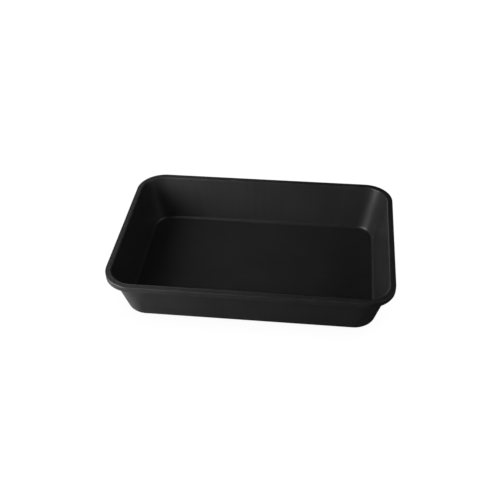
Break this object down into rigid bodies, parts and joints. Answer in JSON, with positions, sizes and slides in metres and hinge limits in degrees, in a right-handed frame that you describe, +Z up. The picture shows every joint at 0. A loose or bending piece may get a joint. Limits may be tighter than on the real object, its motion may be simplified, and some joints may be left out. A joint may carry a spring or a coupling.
{
  "type": "paint roller tray",
  "caption": "Deep rectangular moulded paint tray with a flat floor, leaning walls, rounded corners and a flat lip that turns down at its edge.",
  "frame": {"origin": "on the ground plane, under the middle of the tray", "axes": "+X along the tray's length, +Y across its width, +Z up out of its mouth"},
  "size_m": [0.4, 0.276, 0.07],
  "materials": {
    "black_polypropylene": "semi-gloss"
  },
  "bodies": {
    "root": {"tray_body": "black_polypropylene"}
  },
  "joints": []
}
